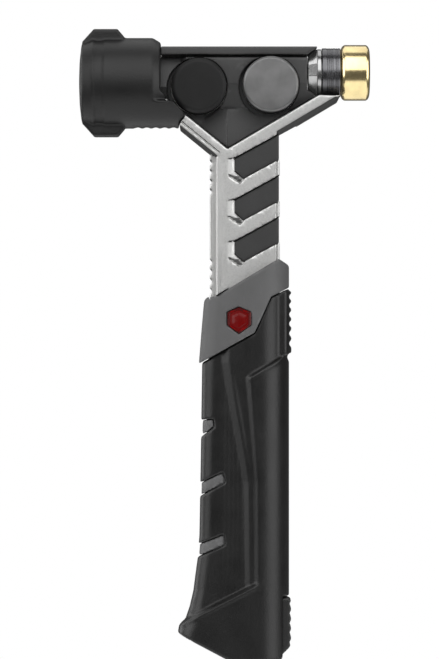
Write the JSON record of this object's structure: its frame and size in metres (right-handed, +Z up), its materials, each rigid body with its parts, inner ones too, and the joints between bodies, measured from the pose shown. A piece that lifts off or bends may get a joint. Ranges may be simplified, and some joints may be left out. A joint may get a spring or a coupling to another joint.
{
  "type": "interchangeable-face hammer",
  "caption": "Bench hammer with a slip-on rubber mallet cap, a screw-in brass face, spare faces stored in the head, a rubber grip and a tool stowed in the butt.",
  "frame": {"origin": "middle of the grip, on the plane of symmetry of the handle and under the neck's middle", "axes": "+Z up along the handle towards the head, +X towards the brass face, -Y towards the side of the head where the spare faces are stored"},
  "size_m": [0.1159, 0.0362, 0.2515],
  "materials": {
    "satin_steel": "satin cast and machined, fine grain",
    "dark_steel": "dark satin coating",
    "bright_steel": "turned, semi-bright",
    "dark_collar": "dark oxide over turned grooves",
    "tray_polymer": "matt moulded",
    "inlay_polymer": "matt moulded",
    "fastener_steel": "black oxide",
    "insert_brass": "turned",
    "core_polymer": "matt moulded grey",
    "grip_rubber": "soft matt overmould",
    "badge_red": "gloss red",
    "pin_steel": "plain",
    "cap_rubber": "matt moulded rubber",
    "strike_brass": "turned and polished",
    "nylon_black": "matt turned nylon",
    "strike_steel": "turned grey steel",
    "tool_polymer": "satin moulded",
    "tip_chrome": "polished",
    "ball_steel": "polished",
    "spring_steel": "drawn wire"
  },
  "bodies": {
    "frame": {"head_frame": "satin_steel", "top_rail": "dark_steel", "socket_boss": "bright_steel", "grooved_collar": "dark_collar", "tray_front": "tray_polymer", "tray_rear": "tray_polymer", "tray_screw_1": "fastener_steel", "tray_screw_2": "fastener_steel", "insert_nylon": "insert_brass", "insert_steel": "insert_brass", "neck_inlay_1": "inlay_polymer", "neck_inlay_2": "inlay_polymer", "neck_inlay_3": "inlay_polymer", "handle_core": "core_polymer", "rubber_grip": "grip_rubber", "badge_left": "badge_red", "badge_right": "badge_red", "tang_pin_upper": "pin_steel", "tang_pin_lower": "pin_steel"},
    "mallet": {"mallet_cap": "cap_rubber"},
    "brass": {"brass_face": "strike_brass"},
    "nylon": {"nylon_face": "nylon_black", "nylon_face_stud": "pin_steel"},
    "steel": {"steel_face": "strike_steel"},
    "tool": {"tool_body": "tool_polymer", "tool_tip": "tip_chrome", "detent_spring": "spring_steel"},
    "ball": {"detent_ball": "ball_steel"}
  },
  "joints": [
    {"name": "mallet_pull", "type": "slide", "parent": "frame", "child": "mallet", "axis": [-1, 0, 0], "range_m": [0, 0.045]},
    {"name": "brass_unscrew", "type": "slide", "parent": "frame", "child": "brass", "axis": [1, 0, 0], "range_m": [0, 0.02]},
    {"name": "nylon_unscrew", "type": "slide", "parent": "frame", "child": "nylon", "axis": [0, -1, 0], "range_m": [0, 0.025]},
    {"name": "steel_unscrew", "type": "slide", "parent": "frame", "child": "steel", "axis": [0, -1, 0], "range_m": [0, 0.025]},
    {"name": "tool_pull", "type": "slide", "parent": "frame", "child": "tool", "axis": [0, 0, -1], "range_m": [0, 0.105]},
    {"name": "ball_press", "type": "slide", "parent": "tool", "child": "ball", "axis": [1, 0, 0], "range_m": [0, 0.0015], "stiffness_N_per_m": 400, "deforming": ["detent_spring"]}
  ]
}
